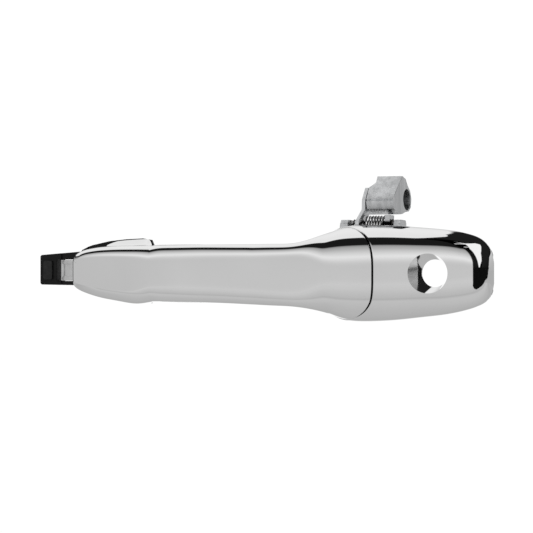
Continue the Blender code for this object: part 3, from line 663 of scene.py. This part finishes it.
def add_sheet(name, points, surface):
    """Flat stage piece with one face through the points."""
    mesh = bpy.data.meshes.new(name)
    mesh.from_pydata(points, [], [tuple(range(len(points)))])
    mesh.materials.append(surface)
    sheet = bpy.data.objects.new(name, mesh)
    bpy.context.scene.collection.objects.link(sheet)


def make_glowing_floor():
    """Floor that glows with painted light, brightening towards the backdrop within the camera's field."""
    surface, nodes, links, shader = material("floor_glow_paint")

    def op(operation, a, b=None, clamp=False):
        return math_node(nodes, links, operation, a, b, clamp)

    coords = nodes.new("ShaderNodeTexCoord")
    turned = nodes.new("ShaderNodeMapping")
    turned.inputs["Rotation"].default_value = (0.0, 0.0, -math.radians(VIEW_AZIMUTH))
    links.new(coords.outputs["Object"], turned.inputs["Vector"])
    parts = nodes.new("ShaderNodeSeparateXYZ")
    links.new(turned.outputs["Vector"], parts.inputs["Vector"])
    across, along = parts.outputs["X"], parts.outputs["Y"]
    light = levels(nodes, links, along, -3.0, 1.0, FLOOR_GLOW)
    aside = op("ABSOLUTE", op("ADD", across, FIELD_OFFSET))
    beyond = op("SUBTRACT", op("SUBTRACT", aside, op("MULTIPLY", along, FIELD_SPREAD)), FIELD_HALF)
    outside = op("MULTIPLY", beyond, 20.0, True)
    behind = op("MULTIPLY", op("SUBTRACT", along, FIELD_START), 6.0, True)
    shade = op("MULTIPLY", op("MULTIPLY", outside, behind), FIELD_SHADE)
    light = op("MINIMUM", light, op("SUBTRACT", 1.0, shade))
    shader.inputs["Base Color"].default_value = (0.06, 0.06, 0.06, 1.0)
    shader.inputs["Roughness"].default_value = 0.9
    shader.inputs["Specular IOR Level"].default_value = 0.0
    # painted light: the floor glows by emission instead of being lit by lamps
    shader.inputs["Emission Strength"].default_value = 1.0
    links.new(light, shader.inputs["Emission Color"])
    corners = [(-FLOOR_SIZE, -FLOOR_SIZE), (FLOOR_SIZE, -FLOOR_SIZE), (FLOOR_SIZE, FLOOR_SIZE),
               (-FLOOR_SIZE, FLOOR_SIZE)]
    add_sheet("floor", [(x, y, FLOOR_Z) for x, y in corners], surface)


def make_card():
    """Black card standing on the floor at the key end, below the flag."""
    surface, nodes, links, shader = material("black_card")
    weave = noise(nodes, links, 40.0)
    black = ramp(nodes, links, weave, [(0.3, grey(0.006)), (0.7, grey(0.012))])
    links.new(black, shader.inputs["Base Color"])
    shader.inputs["Roughness"].default_value = 0.9
    shader.inputs["Specular IOR Level"].default_value = 0.0
    add_sheet("card", [(CARD_X, y, z) for y, z in CARD_EDGE], surface)


def make_camera():
    data = bpy.data.cameras.new("camera")
    data.lens = VIEW_LENS
    data.clip_start, data.clip_end = 0.01, 50.0
    camera = bpy.data.objects.new("camera", data)
    bpy.context.scene.collection.objects.link(camera)
    turn = math.radians(VIEW_AZIMUTH)
    back = Vector((math.sin(turn), -math.cos(turn), 0.0))
    camera.location = VIEW_TARGET + back * VIEW_DISTANCE
    camera.rotation_euler = (-back).to_track_quat("-Z", "Y").to_euler()
    bpy.context.scene.camera = camera


# ---- build ---------------------------------------------------------------------
make_camera()
finish = make_materials()
for piece in (make_grip_shell(), make_key_cap()):
    piece.data.materials.append(finish["chrome"])
for node in ("hook_arm", "rear_leg", "cylinder_retainer"):
    dress(node, finish["bright"])
for node in ("grip_inner_cover", "hook_shoe", "cap_base", "weight_plug"):
    dress(node, finish["black"])
for node in ("hook_wear_pad", "rear_leg_bumper", "cap_gasket"):
    dress(node, finish["rubber"])
for node in ("arm_screw_1", "arm_screw_2", "mounting_stud", "mounting_nut", "stud_washer", "pivot_pin",
             "bracket_screw_1", "bracket_screw_2", "bracket_screw_3"):
    dress(node, finish["steel"], 0.15)
for node in ("pivot_bracket", "counterweight"):
    dress(node, finish["cast"], 0.4)
# the bell crank's copy of the casting finish carries painted shade on its hub
dress("bell_crank", paint_hub_shade(finish["cast"].copy()), 0.4)
for node in ("return_spring", "pin_clip"):
    dress(node, finish["wire"], 0.05)
for node in ("left_bush", "right_bush"):
    dress(node, finish["bronze"], 0.1)
dress("leg_guide", finish["nylon"])
make_world()
make_glowing_floor()
make_card()
bpy.context.scene.view_settings.view_transform = "Standard"
